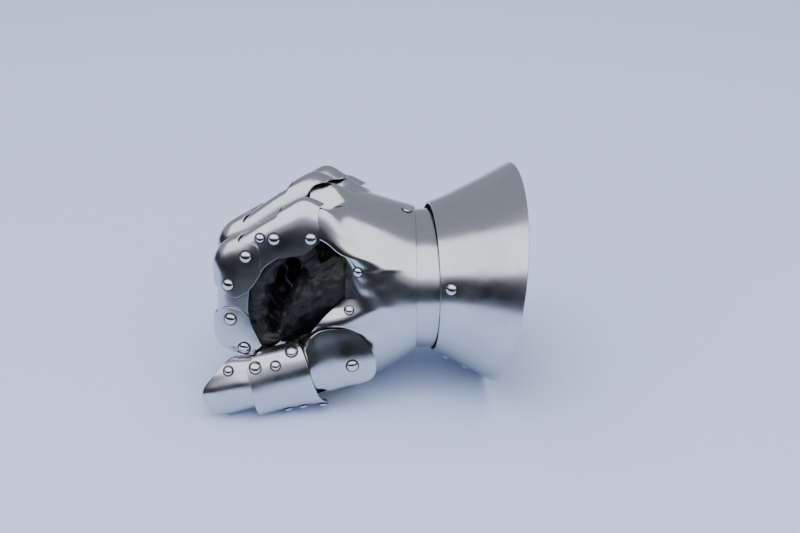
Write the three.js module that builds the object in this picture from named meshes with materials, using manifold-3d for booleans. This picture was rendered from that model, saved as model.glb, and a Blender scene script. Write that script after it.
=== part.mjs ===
// Right-hand armoured gauntlet of polished sheet steel, lying palm down on a flat surface.
// X runs from the finger knuckles to the cuff, Y across the hand, Z up. Millimetres.
import * as THREE from 'three';
import { mergeVertices } from 'three/addons/utils/BufferGeometryUtils.js';
import Module from 'manifold-3d';

const wasm = await Module();
wasm.setup();

// Sheet
const sheet = 1.4;
const nest = 0.6;
const layer = sheet + nest;

// How the hand lies
const wristHeight = 75;
const roll = THREE.MathUtils.degToRad(11);

// Cuff: a narrow ring over the wrist and a wide rim that stands on the surface
const cuffNeck = { x: 46.5, z: wristHeight + 1, across: 54.6, high: 54, lean: 0.03, yaw: 6 };
const cuffRim = { x: 97.2, z: 79.5, across: 79.5, high: 79.5, lean: 0.15, yaw: 6.2 };
const cuffFlare = 1.12;

// Wrist lame: a barrel that both the cuff and the hand plate lap over
const lameFront = 28.5;
const lameBack = 61;
const lameAcross = 51.6;
const lameHigh = 50.4;
const lameBarrel = 2.2;

// Hand plate: its wrist ring, and its size from the wrist forward as [x, size] pairs
const handBack = 36;
const handAcross = [[-44, 46.4], [-20, 46.8], [0, 47.8], [18, 51.4], [36, 54.2]];
const handTop = [[-44, 79], [-33, 76.5], [-20, 71], [0, 63.4], [23, 56.6], [36, 52.8]];
const handBottom = [[-44, 84], [-8, 79], [8, 71], [26, 60], [36, 53.4]];

// Front edge of the hand plate as [degrees round from the back of the hand, x]
const handFront = [
  [-180, -4], [-150, -12], [-120, -16], [-60, -13], [-31, -13], [-22, -18], [-9, -27], [9, -36],
  [30, -41], [45, -41], [56, -35.5], [60, -28], [66, -20], [74, -13.5], [80, -12], [88, -12.7],
  [96, -18.6], [109, -32], [117, -38], [132, -39], [146, -30], [160, -14], [180, -4],
];

// Knuckle ridges at the front of the hand plate as [distance across, height]
const knuckles = [[-38, 64.2], [-25.5, 60], [-12.7, 75], [0, 62.8], [12.7, 71.5], [25.5, 51.2], [38, 58.6]];
const knuckleFade = [10, 31];
const knuckleSide = { from: 38, over: 9 };

// How square the hand plate's section grows forward of the wrist: on the back, and on the palm's two sides
const backSquare = { from: 2, to: 2.9, over: 60 };
const palmSquare = { from: 2, thumbSide: 2.1, farSide: 3, over: 40 };

// Bulge of the hand plate that carries the thumb, by degrees round and by x
const thumbBulge = { rise: 4.5, at: 124, reach: 26, x: 26, over: 44 };

// Dished band round the thumb opening and the raised rim behind it; from, to and soft are degrees
const dish = { from: 45, to: 112, soft: 14, depth: 3.4, width: 15, rim: 1.3, rimAt: 19, rimReach: 6 };
const slopeStep = 3;
const arcPerDegree = 0.9;

// Finger: its back and its open lower edge as [x, height], one pair for each station
const fingerBack = [
  [-28, 64.5], [-41, 67], [-54, 62.5], [-68, 55.5], [-82, 46.5], [-95, 38], [-102, 27],
  [-103, 14], [-103.2, 2], [-103.8, -10], [-105, -21], [-103, -31.5], [-95, -38.5], [-84, -42],
];
const fingerEdge = [
  [-30, 37], [-45, 33], [-58, 31], [-63, 28.5], [-69, 24], [-73, 18], [-76.5, 12.5],
  [-80, 8], [-81, 2], [-81.5, -8], [-79, -18], [-75.5, -26.5], [-73, -32], [-70, -36],
];
const fingerHalf = 9.5;
const fingerSquare = 2.4;

// Each finger: its place across the hand, how far its knuckle and its middle joint are shifted from
// those of the index finger, how many degrees further its end curls in, its side that is open, and how
// far the back end of its knuckle sinks
const fingers = [
  { name: 'index', across: -38, knuckle: [0, 0], joint: [0, 0], curl: 0, open: -1, sink: 0 },
  { name: 'middle', across: -12.7, knuckle: [6.5, 11.5], joint: [1.2, 6], curl: 6, open: 0, sink: 0 },
  { name: 'ring', across: 12.7, knuckle: [16, 10.3], joint: [8, 4], curl: 18, open: 0, sink: 4 },
  { name: 'little', across: 38, knuckle: [29, -4], joint: [20, -6], curl: 34, open: 1, sink: 1.6 },
];
const curlPivot = new THREE.Vector3(-80.5, 0, 5);

// Stations over which a finger's end curls in, its knuckle hands over to its joint and its sink fades
const curlSpan = { from: 6.5, over: 3 };
const bendSpan = { from: 2, over: 3 };
const sinkOver = 1.6;

// Saddle of a knuckle plate towards the next finger, and how far round a ridge its crest reaches
const saddle = { x: -2, up: -9, from: 0.9, over: 1.3 };
const crestReach = 0.34;

// Thumb: the root of its back ridge, the way it points and the way its back faces
const thumbRoot = new THREE.Vector3(6.5, -59, 43.6);
const thumbWay = new THREE.Vector3(-0.979, -0.136, -0.155).normalize();
const thumbFace = new THREE.Vector3(0.099, -0.969, 0.225).normalize();
const thumbSquare = 2.6;
const thumbCrestReach = 0.2;

// Rivets
const shank = 1.5;
const hole = 1.95;
const largeHead = 4;
const smallHead = 3.2;
const headGap = 0.3;
const headRise = 0.52;
const small = { head: smallHead };
const single = { head: smallHead, grip: sheet + 0.4 };

// Leather glove, all of it slack inside the plates
const leather = 1.3;
const gloveSides = 16;
const gloveMouth = 54;
// palm rings from the front back: [x, distance across, height, half depth, half width, slant]
const palmRings = [
  [-48, -6, -28, 10, 20, 0.5], [-45, -5, -26, 20, 31, 0.5], [-37, 0, -15, 31, 37, 0.44],
  [-28, 0, -4, 34, 39, 0.33], [-20, 0, 1, 39, 40, 0.2], [-8, 0, 3, 43, 40.5, 0.08],
  [8, 0, 2, 45, 41.5, 0], [24, 0, 0, 43, 42, 0], [34, 0, 0, 43, 43, 0],
];
// finger rings: [station, half depth, half width, distance ahead]; each starts fingerDepth under the
// finger's back
const fingerDepth = 4.2;
const fingerRings = [
  [1.4, 15, 7, 0], [2.6, 18.5, 7.4, 0], [4.2, 19, 7.4, 0], [5.6, 17.5, 7.4, 0], [7, 16.5, 7.4, 0],
  [8.6, 16.5, 7.4, 0], [10, 16, 7.4, 0], [11.2, 15, 7.4, 0], [12.8, 14, 7, 0], [12.9, 13, 6, 3],
  [12.9, 8, 4, 5],
];
const fingerRoot = { x: 17, across: 0.66, up: -24 };
// thumb rings: [run, up, out, half depth, half width]
const thumbRings = [
  [-6, 6, -42, 13, 15], [20, 7, -38, 14, 17], [42, 2, -31, 13, 15.5], [60, -2.6, -20, 12.5, 15.5],
  [84, -1.6, -17.5, 12, 15.5], [99, -3.6, -17, 11, 14], [106, -4.6, -17, 7, 9],
];

const steel = { color: 0xb9bcc4, roughness: 0.16, metalness: 1 };
const rivetSteel = { color: 0xc9cbd0, roughness: 0.12, metalness: 1 };
const blackLeather = { color: 0x17161a, roughness: 0.55, metalness: 0 };

const gauntlet = new THREE.Group();

// ---- numbers ----

function mix(a, b, t) {
  return a + (b - a) * t;
}

function ease(t) {
  const c = Math.min(Math.max(t, 0), 1);
  return c * c * (3 - 2 * c);
}

// Value of a list of [place, value] pairs, on a smooth curve through them
function along(pairs, place) {
  const last = pairs.length - 1;
  if (place <= pairs[0][0]) {
    return pairs[0][1];
  }
  if (place >= pairs[last][0]) {
    return pairs[last][1];
  }
  const i = pairs.findIndex(([p]) => p > place);
  const slope = (k) => {
    const [p0, v0] = pairs[Math.max(k - 1, 0)];
    const [p1, v1] = pairs[Math.min(k + 1, last)];
    return (v1 - v0) / (p1 - p0);
  };
  const [p0, v0] = pairs[i - 1];
  const [p1, v1] = pairs[i];
  const span = p1 - p0;
  const t = (place - p0) / span;
  const a = slope(i - 1) * span;
  const b = slope(i) * span;
  const rise = v1 - v0;
  return v0 + t * (a + t * (3 * rise - 2 * a - b + t * (a + b - 2 * rise)));
}

function bump(place, middle, reach) {
  return Math.exp(-(((place - middle) / reach) ** 2));
}

function steps(count, from = 0, to = 1) {
  return Array.from({ length: count + 1 }, (_, i) => mix(from, to, i / count));
}

// ---- places ----

// A place in the rolled hand: x, distance across towards the little finger, height over the palm line
function inHand(x, across, up) {
  const y = across * Math.cos(roll) + up * Math.sin(roll);
  const z = wristHeight - across * Math.sin(roll) + up * Math.cos(roll);
  return new THREE.Vector3(x, y, z);
}

const thumbUp = new THREE.Vector3().crossVectors(thumbWay, thumbFace).normalize();

// A place in the thumb: distance from its root, distance up across its back, height over its ridge
function inThumb(run, up, out) {
  return thumbRoot.clone()
    .addScaledVector(thumbWay, run)
    .addScaledVector(thumbUp, up)
    .addScaledVector(thumbFace, out);
}

// ---- solids ----

// Way out of a skin(row, col), whose columns crossed with its rows point outwards
function outward(skin, row, col) {
  const d = 0.002;
  const alongRow = skin(row + d, col).sub(skin(row - d, col));
  const alongCol = skin(row, col + d).sub(skin(row, col - d));
  return alongCol.cross(alongRow).normalize();
}

// Closed shell of sheet under a skin
function shell(skin, rows, cols, wraps = false) {
  const points = [];
  const faces = [];
  for (const depth of [0, sheet]) {
    for (const row of rows) {
      for (const col of cols) {
        const p = skin(row, col).addScaledVector(outward(skin, row, col), -depth);
        points.push(p.x, p.y, p.z);
      }
    }
  }
  const width = cols.length;
  const inner = rows.length * width;
  const quad = (a, b, c, d) => {
    faces.push(a, c, b, a, d, c);
  };
  const last = wraps ? width : width - 1;
  for (let j = 0; j < last; j += 1) {
    const k = (j + 1) % width;
    for (let i = 0; i < rows.length - 1; i += 1) {
      const a = i * width;
      const b = a + width;
      quad(a + j, b + j, b + k, a + k);
      quad(inner + a + k, inner + b + k, inner + b + j, inner + a + j);
    }
    const end = (rows.length - 1) * width;
    quad(j, k, inner + k, inner + j);
    quad(end + k, end + j, inner + end + j, inner + end + k);
  }
  if (!wraps) {
    for (let i = 0; i < rows.length - 1; i += 1) {
      const a = i * width;
      const b = a + width;
      quad(b, a, inner + a, inner + b);
      quad(a + width - 1, b + width - 1, inner + b + width - 1, inner + a + width - 1);
    }
  }
  const geometry = new THREE.BufferGeometry();
  geometry.setAttribute('position', new THREE.Float32BufferAttribute(points, 3));
  geometry.setIndex(faces);
  return geometry;
}

function toSolid(geometry) {
  const plain = geometry.clone();
  for (const name of Object.keys(plain.attributes)) {
    if (name !== 'position') {
      plain.deleteAttribute(name);
    }
  }
  const merged = mergeVertices(plain, 1e-4);
  const vertProperties = new Float32Array(merged.attributes.position.array);
  const triVerts = new Uint32Array(merged.index.array);
  return new wasm.Manifold(new wasm.Mesh({ numProp: 3, vertProperties, triVerts }));
}

function toGeometry(solid) {
  const mesh = solid.getMesh();
  const geometry = new THREE.BufferGeometry();
  geometry.setAttribute('position', new THREE.BufferAttribute(new Float32Array(mesh.vertProperties), 3));
  geometry.setIndex(new THREE.BufferAttribute(new Uint32Array(mesh.triVerts), 1));
  return geometry;
}

function add(name, geometry, finish) {
  const mesh = new THREE.Mesh(geometry, new THREE.MeshStandardMaterial(finish));
  geometry.computeVertexNormals();
  mesh.name = name;
  gauntlet.add(mesh);
}

// ---- rivets and the plates that they pass through ----

const rivets = [];

function turned(geometry, point, axis) {
  const turn = new THREE.Quaternion().setFromUnitVectors(new THREE.Vector3(0, 1, 0), axis);
  return geometry.applyQuaternion(turn).translate(point.x, point.y, point.z);
}

// A domed rivet standing on a skin; grip is how far its shank reaches in
function rivet(name, skin, row, col, { head = largeHead, grip = sheet + layer + 0.1 } = {}) {
  const axis = outward(skin, row, col);
  const point = skin(row, col);
  const rise = head * headRise;
  const profile = [
    [0, -grip], [shank, -grip], [shank, headGap], [head, headGap],
    [head * 0.93, headGap + rise * 0.42], [head * 0.62, headGap + rise * 0.84], [0, headGap + rise],
  ];
  const solid = new THREE.LatheGeometry(profile.map(([r, y]) => new THREE.Vector2(r, y)), 8);
  add(name, toGeometry(toSolid(turned(solid, point, axis))), rivetSteel);
  const drill = new THREE.CylinderGeometry(hole, hole, 2 * grip + 4, 8);
  rivets.push({ point, drill: toSolid(turned(drill, point, axis)) });
}

// Adds a plate with a hole for each rivet near it
function plate(name, geometry) {
  geometry.computeBoundingBox();
  const near = geometry.boundingBox.clone().expandByScalar(6);
  let solid = toSolid(geometry);
  for (const one of rivets) {
    if (near.containsPoint(one.point)) {
      solid = solid.subtract(one.drill);
    }
  }
  add(name, toGeometry(solid), steel);
}

// ---- cuff ----

function ring(size, degrees) {
  const angle = THREE.MathUtils.degToRad(degrees);
  const y = -size.across * Math.sin(angle);
  const up = size.high * Math.cos(angle);
  const x = size.x + size.lean * up - Math.tan(THREE.MathUtils.degToRad(size.yaw)) * y;
  return new THREE.Vector3(x, y, size.z + up);
}

// row 0 is the neck and 1 the rim, col runs once round from the top
function cuffSkin(row, col) {
  const neck = ring(cuffNeck, col * 360);
  const rim = ring(cuffRim, col * 360);
  const p = neck.clone().lerp(rim, row);
  const open = Math.sign(row) * Math.abs(row) ** cuffFlare;
  p.y = mix(neck.y, rim.y, open);
  p.z = mix(neck.z, rim.z, open);
  return p;
}

// ---- wrist lame ----

function lameSkin(row, col) {
  const x = mix(lameFront, lameBack, row);
  const angle = col * 2 * Math.PI;
  const slim = lameBarrel * (2 * row - 1) ** 2;
  return inHand(x, -(lameAcross - slim * 0.4) * Math.sin(angle), (lameHigh - slim) * Math.cos(angle));
}

// ---- hand plate ----

function frontEdge(degrees) {
  return along(handFront, degrees);
}

// Distance from the front edge, measured square to it
function fromEdge(x, degrees) {
  const rise = frontEdge(degrees + slopeStep) - frontEdge(degrees - slopeStep);
  const slope = rise / (2 * slopeStep * arcPerDegree);
  return (x - frontEdge(degrees)) / Math.sqrt(1 + slope * slope);
}

function handPoint(x, degrees) {
  const angle = THREE.MathUtils.degToRad(degrees);
  const s = Math.sin(angle);
  const c = Math.cos(angle);
  const half = along(handAcross, x);
  const tall = c > 0 ? along(handTop, x) : along(handBottom, x);
  const backward = mix(backSquare.from, backSquare.to, ease((handBack - x) / backSquare.over));
  const palmTo = s > 0 ? palmSquare.thumbSide : palmSquare.farSide;
  const palmward = mix(palmSquare.from, palmTo, ease((handBack - x) / palmSquare.over));
  const square = c > 0 ? backward : palmward;
  let reach = ((Math.abs(s) / half) ** square + (Math.abs(c) / tall) ** square) ** (-1 / square);
  // bulge that carries the thumb
  const carry = ease((thumbBulge.x - x) / thumbBulge.over);
  reach += thumbBulge.rise * bump(degrees, thumbBulge.at, thumbBulge.reach) * carry;
  // the dished band round the thumb opening, inside its raised rim
  const open = ease((degrees - dish.from) / dish.soft) * ease((dish.to - degrees) / dish.soft);
  const gap = fromEdge(x, degrees);
  reach -= open * dish.depth * (1 - ease(gap / dish.width));
  reach += open * dish.rim * bump(gap, dish.rimAt, dish.rimReach);
  let up = reach * c;
  const across = -reach * s;
  // the four knuckle ridges
  const fade = ease((knuckleFade[1] - (x - frontEdge(degrees))) / (knuckleFade[1] - knuckleFade[0]));
  const side = 1 - ease((Math.abs(across) - knuckleSide.from) / knuckleSide.over);
  if (c > 0) {
    up += fade * side * (along(knuckles, across) - up);
  }
  const point = inHand(x, across, up);
  point.z = Math.max(point.z, 0); // the heel is worn flat where it stands
  return point;
}

// row 0 is the front edge and 1 the wrist, col is degrees round from the back of the hand
function handSkin(row, col) {
  return handPoint(mix(frontEdge(col), handBack, row), col);
}

// ---- fingers ----

const backLine = new THREE.CatmullRomCurve3(
  fingerBack.map(([x, up]) => new THREE.Vector3(x, 0, up)), false, 'catmullrom');
const edgeLine = new THREE.CatmullRomCurve3(
  fingerEdge.map(([x, up]) => new THREE.Vector3(x, 0, up)), false, 'catmullrom');
const lastStation = fingerBack.length - 1;

// A finger's place on the back or edge line at a station, in the plane of that finger
function lineAt(line, finger, station) {
  const point = line.getPoint(THREE.MathUtils.clamp(station / lastStation, 0, 1));
  const curl = THREE.MathUtils.degToRad(finger.curl) * ease((station - curlSpan.from) / curlSpan.over);
  const dx = point.x - curlPivot.x;
  const dz = point.z - curlPivot.z;
  point.x = curlPivot.x + dx * Math.cos(curl) - dz * Math.sin(curl);
  point.z = curlPivot.z + dx * Math.sin(curl) + dz * Math.cos(curl);
  const bend = ease((station - bendSpan.from) / bendSpan.over);
  point.x += mix(finger.knuckle[0], finger.joint[0], bend);
  point.z += mix(finger.knuckle[1], finger.joint[1], bend);
  point.z -= finger.sink * (1 - ease(station / sinkOver));
  return point;
}

// Skin of a finger at a height over its inner plates. station runs from the knuckle to the tip,
// turn from -1 on the thumb side over 0 at the ridge to 1
function fingerSkin(finger, lift, shape = {}) {
  return (station, turn) => {
    const back = lineAt(backLine, finger, station);
    const edge = lineAt(edgeLine, finger, station);
    const free = Math.sign(turn) === finger.open;
    if (shape.saddle && !free) {
      const shallow = back.clone().add(new THREE.Vector3(saddle.x, 0, saddle.up));
      edge.lerpVectors(shallow, edge.clone(), ease((station - saddle.from) / saddle.over));
    }
    const down = edge.clone().sub(back);
    const depth = down.length();
    down.normalize();
    const crest = shape.crest ? along(shape.crest, station) * bump(turn, 0, crestReach) : 0;
    back.addScaledVector(down, -lift - crest);
    const angle = Math.min(Math.abs(turn), 1) * Math.PI / 2;
    const drop = 1 - Math.cos(angle) ** (2 / fingerSquare);
    const wide = (fingerHalf + lift) * Math.sin(angle) ** (2 / fingerSquare);
    back.addScaledVector(down, drop * (depth + lift + crest));
    return inHand(back.x, finger.across + Math.sign(turn) * wide, back.z);
  };
}

// Outlines as [share of the way from ridge to edge, station]
const knucklePlate = {
  lift: layer, saddle: true, crest: [[0, 0.6], [1.2, 2.8], [2.4, 1]],
  rearFree: [[0, 0], [0.45, 0.25], [0.8, 0.05], [0.93, 0.12], [1, 0.5]],
  rear: [[0, 0], [0.4, 0.45], [0.75, 1.25], [1, 1.6]],
  front: [[0, 2], [0.3, 2.45], [0.55, 2.95], [0.85, 2.8], [1, 2.35]],
};
const jointPlate = {
  lift: layer, crest: [[4, 0.2], [5.6, 1.7], [7.4, 0.3]],
  rear: [[0, 4], [0.34, 4.4], [0.66, 3.75], [0.9, 3.95], [1, 4.35]],
  front: [[0, 7.3], [0.45, 7.45], [0.8, 7.95], [1, 7.5]],
};
const tipPlate = {
  lift: layer,
  rear: [[0, 9.25], [0.25, 9], [0.6, 8.6], [0.9, 8.8], [1, 9.2]],
  front: [[0, 12.9], [0.7, 12.9], [1, 12.4]],
};
const firstLame = { lift: 0, rear: [[0, 1.6], [1, 1.9]], front: [[0, 5.4], [1, 5.2]] };
const secondLame = { lift: 0, rear: [[0, 6.3], [1, 6.4]], front: [[0, 10.2], [1, 10]] };

// Turns an outline's share of the way round into a skin over the unit square
function fingerPlate(finger, shape, rowCount) {
  const skin = fingerSkin(finger, shape.lift, shape);
  const outline = (row, col) => {
    const turn = 2 * col - 1;
    const free = Math.sign(turn) === finger.open;
    const rearList = free && shape.rearFree ? shape.rearFree : shape.rear;
    const share = Math.min(Math.abs(turn), 1);
    return skin(mix(along(rearList, share), along(shape.front, share), row), turn);
  };
  return shell(outline, steps(rowCount), steps(8));
}

function fingerRivets(finger) {
  const turn = finger.open;
  const knuckle = fingerSkin(finger, layer, knucklePlate);
  const joint = fingerSkin(finger, layer, jointPlate);
  const tip = fingerSkin(finger, layer, tipPlate);
  const name = `rivet_${finger.name}`;
  rivet(`${name}_knuckle_rear`, knuckle, 0.5, turn * 0.85);
  rivet(`${name}_knuckle_front`, knuckle, 2.62, turn * 0.72);
  rivet(`${name}_joint_rear`, joint, 4.6, turn * 0.7);
  rivet(`${name}_joint_front`, joint, 7, turn * 0.64);
  rivet(`${name}_tip_rear`, tip, 9.4, turn * 0.7);
  rivet(`${name}_tip_front`, tip, 11.9, turn * 0.73);
}

function buildFinger(finger) {
  plate(`${finger.name}_knuckle_plate`, fingerPlate(finger, knucklePlate, 5));
  plate(`${finger.name}_first_lame`, fingerPlate(finger, firstLame, 4));
  plate(`${finger.name}_joint_plate`, fingerPlate(finger, jointPlate, 5));
  plate(`${finger.name}_second_lame`, fingerPlate(finger, secondLame, 4));
  plate(`${finger.name}_tip_plate`, fingerPlate(finger, tipPlate, 5));
}

// ---- thumb ----

// Thumb plates: run is the distance from the root. rise is the ridge over the thumb's own ridge line,
// half the half width, shift moves the middle upwards, and wallUp and wallLow are the depths from the
// ridge to the two open edges
const thumbBase = {
  rise: [[0, -2], [20, -0.6], [40, -1.5], [60, -3]],
  half: [[0, 22], [22, 23.6], [34, 24.6], [42, 22.7], [50, 20.7], [60, 20.4]],
  shift: [[0, 1], [22, 3], [34, 2.6], [42, 0.8], [50, -3], [60, -3.6]],
  wallUp: [[0, 1.5], [41, 2.5], [52, 17], [60, 20]],
  wallLow: [[0, 9], [20, 13], [60, 18]],
  crest: 1,
  rear: [[0, -0.4], [0.35, 5], [0.6, 11], [0.8, 17], [1, 26]],
  rearLow: [[0, -0.4], [0.35, 1.5], [0.6, 7], [0.85, 18], [1, 28]],
  front: [[0, 57], [1, 57]],
};
const thumbMiddle = {
  rise: [[40, 2.6], [50, 0.9], [66, 0.2], [80, 0.8], [90, 2.4]],
  half: [[40, 25.8], [50, 24.8], [66, 24.2], [80, 24.4], [90, 24.4]],
  shift: [[40, -4.2], [90, -4.2]],
  wallUp: [[40, 18], [58, 15], [90, 13]],
  wallLow: [[40, 20], [90, 20]],
  crest: 1.2,
  rear: [[0, 46.6], [0.4, 48], [1, 51]],
  rearLow: [[0, 46.6], [0.4, 43.6], [0.7, 39], [1, 38.5]],
  front: [[0, 89], [0.4, 88.4], [0.6, 85], [0.75, 81], [1, 77]],
  frontLow: [[0, 89], [0.45, 88.4], [0.7, 85.5], [0.85, 79], [1, 76]],
};
const thumbTip = {
  rise: [[76, -2.6], [90, -2.2], [104, -3], [116, -5.5], [126, -9.5]],
  half: [[76, 19.8], [90, 20.4], [98, 21], [110, 20], [118, 18.6], [126, 16.6]],
  shift: [[76, -3.6], [90, -2.6], [98, -2], [110, -3], [126, -4.5]],
  wallUp: [[76, 11.6], [100, 12], [126, 9]],
  wallLow: [[76, 18], [100, 17], [126, 10]],
  crest: 2,
  rear: [[0, 77], [1, 77]],
  front: [[0, 124.4], [0.2, 121], [0.6, 107], [1, 98]],
  frontLow: [[0, 124.4], [0.3, 121.5], [0.6, 118.5], [1, 109]],
};

function thumbSkin(shape) {
  return (run, turn) => {
    const angle = Math.min(Math.abs(turn), 1) * Math.PI / 2;
    const drop = 1 - Math.cos(angle) ** (2 / thumbSquare);
    const wide = along(shape.half, run) * Math.sin(angle) ** (2 / thumbSquare);
    const crest = shape.crest * bump(turn, 0, thumbCrestReach);
    const wall = along(turn > 0 ? shape.wallUp : shape.wallLow, run);
    const out = along(shape.rise, run) + crest - drop * (wall + crest);
    return inThumb(run, along(shape.shift, run) + Math.sign(turn) * wide, out);
  };
}

function thumbPlate(shape, rowCount) {
  const skin = thumbSkin(shape);
  const outline = (row, col) => {
    const turn = 2 * col - 1;
    const share = Math.min(Math.abs(turn), 1);
    const rear = turn < 0 && shape.rearLow ? shape.rearLow : shape.rear;
    const front = turn < 0 && shape.frontLow ? shape.frontLow : shape.front;
    return skin(mix(along(rear, share), along(front, share), row), turn);
  };
  return shell(outline, steps(rowCount), steps(10));
}

function thumbRivets() {
  const base = thumbSkin(thumbBase);
  const middle = thumbSkin(thumbMiddle);
  const tip = thumbSkin(thumbTip);
  rivet('rivet_thumb_root', base, 16.4, -0.085, { grip: 9 });
  rivet('rivet_thumb_upper_rear', middle, 56, 0.587);
  rivet('rivet_thumb_upper_middle', middle, 69, 0.32, single);
  rivet('rivet_thumb_upper_front', middle, 83, 0.378);
  rivet('rivet_thumb_lower_front', middle, 67, -0.8, single);
  rivet('rivet_thumb_lower_middle', middle, 56, -0.78, small);
  rivet('rivet_thumb_lower_rear', middle, 42, -0.8, small);
  rivet('rivet_thumb_tip', tip, 102, 0.42, single);
}

// ---- glove ----

// Closed body through rings of points that all run the same way round
function limb(rings) {
  const points = [];
  const faces = [];
  for (const loop of rings) {
    points.push(...loop.flatMap((p) => [p.x, p.y, p.z]));
  }
  const count = rings[0].length;
  const end = (rings.length - 1) * count;
  for (let j = 0; j < count; j += 1) {
    const k = (j + 1) % count;
    for (let a = 0; a < end; a += count) {
      const b = a + count;
      faces.push(a + j, b + k, b + j, a + j, a + k, b + k);
    }
    if (j > 0 && k > 0) {
      faces.push(0, k, j, end, end + j, end + k);
    }
  }
  const geometry = new THREE.BufferGeometry();
  geometry.setAttribute('position', new THREE.Float32BufferAttribute(points, 3));
  geometry.setIndex(faces);
  return toSolid(geometry);
}

// Ring round a centre: deep towards the back of the hand, wide towards the side
function loopAt(centre, back, side, deep, wide) {
  return steps(gloveSides).slice(0, -1).map((t) => {
    const angle = t * 2 * Math.PI;
    return centre.clone()
      .addScaledVector(back, deep * Math.cos(angle))
      .addScaledVector(side, wide * Math.sin(angle));
  });
}

function glovePalm(inset, mouth) {
  const back = inHand(0, 0, 1).sub(inHand(0, 0, 0));
  const side = inHand(0, -1, 0).sub(inHand(0, 0, 0));
  const last = palmRings[palmRings.length - 1].slice(1);
  return limb([...palmRings, [mouth, ...last]].map(([x, across, up, deep, wide, slant], i) => {
    const slanted = side.clone().setX(-slant);
    const middle = inHand(x + (i === 0 ? inset : 0), across, up);
    middle.x += slant * across;
    return loopAt(middle, back, slanted, deep - inset, wide - inset);
  }));
}

function gloveFinger(finger, inset) {
  const side = inHand(0, 1, 0).sub(inHand(0, 0, 0));
  const root = inHand(0, 0, 0);
  const rings = fingerRings.map(([station, deep, wide, ahead], i) => {
    const back = lineAt(backLine, finger, station);
    const edge = lineAt(edgeLine, finger, station);
    const top = inHand(back.x, finger.across, back.z);
    const up = top.clone().sub(inHand(edge.x, finger.across, edge.z)).normalize();
    const middle = top.addScaledVector(up, -fingerDepth - deep);
    const end = i === fingerRings.length - 1 ? inset : 0;
    middle.addScaledVector(up.clone().cross(side), ahead - end);
    return loopAt(middle, up, side, deep - inset, wide - inset);
  });
  const { x, across, up } = fingerRoot;
  root.subVectors(inHand(x, finger.across * across, up), inHand(0, finger.across, 0));
  return limb([rings[0].map((p) => p.clone().add(root)), ...rings]);
}

function gloveThumb(inset) {
  return limb(thumbRings.map(([run, up, out, deep, wide], i) => {
    const end = i === thumbRings.length - 1 ? inset : 0;
    return loopAt(inThumb(run - end, up, out), thumbFace, thumbUp, deep - inset, wide - inset);
  }));
}

function buildGlove() {
  const whole = (inset, mouth) => {
    let solid = glovePalm(inset, mouth).add(gloveThumb(inset));
    for (const finger of fingers) {
      solid = solid.add(gloveFinger(finger, inset));
    }
    return solid;
  };
  const skin = whole(0, gloveMouth).subtract(whole(leather, gloveMouth + 10)).simplify(0.2);
  const [body] = skin.decompose().sort((a, b) => b.volume() - a.volume());
  add('glove', toGeometry(body), blackLeather);
}

// ---- assembly ----

rivet('rivet_cuff_pivot_thumb_side', cuffSkin, 0.13, 0.195);
rivet('rivet_cuff_pivot_far_side', cuffSkin, 0.13, 0.75);
rivet('rivet_cuff_seam_front', cuffSkin, 0.28, 0.45, single);
rivet('rivet_cuff_seam_rear', cuffSkin, 0.62, 0.45, single);
rivet('rivet_wrist_top', handSkin, 0.92, 10, small);
rivet('rivet_wrist_bottom', handSkin, 0.9, 180, small);
rivet('rivet_opening_upper', handSkin, 0.22, 70, single);
rivet('rivet_opening_lower', handSkin, 0.19, 99.5, single);
fingerRivets(fingers[0]);
fingerRivets(fingers[3]);
rivet('rivet_index_first_lame', fingerSkin(fingers[0], 0), 3.45, -0.53, single);
thumbRivets();

const handCols = [
  ...steps(16, -45, 45), ...steps(14, 45, 143).slice(1), ...steps(13, 143, 315).slice(1, -1),
].map((degrees) => (degrees > 180 ? degrees - 360 : degrees));
const handRows = [0, 0.07, 0.15, 0.25, 0.36, 0.5, 0.66, 0.83, 1];

plate('cuff', shell(cuffSkin, steps(4), steps(36).slice(0, -1), true));
plate('wrist_lame', shell(lameSkin, steps(3), steps(36).slice(0, -1), true));
plate('hand_plate', shell(handSkin, handRows, handCols, true));
plate('thumb_base_plate', thumbPlate(thumbBase, 5));
plate('thumb_middle_plate', thumbPlate(thumbMiddle, 6));
plate('thumb_tip_plate', thumbPlate(thumbTip, 5));
for (const finger of fingers) {
  buildFinger(finger);
}
buildGlove();

// The origin is under the middle of the box, on the surface that the gauntlet lies on
const box = new THREE.Box3().setFromObject(gauntlet);
const middle = box.getCenter(new THREE.Vector3());
gauntlet.position.set(-middle.x, -middle.y, -box.min.z);

export default gauntlet;
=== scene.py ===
import math

import bmesh
import bpy
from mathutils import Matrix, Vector, noise
from mathutils.bvhtree import BVHTree


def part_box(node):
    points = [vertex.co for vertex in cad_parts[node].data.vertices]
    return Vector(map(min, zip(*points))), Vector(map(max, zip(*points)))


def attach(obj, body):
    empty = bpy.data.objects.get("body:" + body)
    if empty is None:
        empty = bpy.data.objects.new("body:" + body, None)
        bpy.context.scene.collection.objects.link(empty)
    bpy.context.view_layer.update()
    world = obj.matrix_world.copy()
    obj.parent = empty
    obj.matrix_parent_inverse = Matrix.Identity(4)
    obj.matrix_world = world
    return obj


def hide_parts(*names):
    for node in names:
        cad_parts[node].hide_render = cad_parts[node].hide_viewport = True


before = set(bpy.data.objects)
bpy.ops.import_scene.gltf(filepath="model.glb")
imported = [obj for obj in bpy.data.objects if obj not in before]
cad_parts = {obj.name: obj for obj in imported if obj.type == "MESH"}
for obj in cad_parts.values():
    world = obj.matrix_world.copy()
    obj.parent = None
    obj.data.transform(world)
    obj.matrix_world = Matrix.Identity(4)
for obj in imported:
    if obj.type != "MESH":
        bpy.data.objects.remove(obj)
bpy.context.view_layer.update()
print("frame loaded:", len(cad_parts), "nodes")

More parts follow.
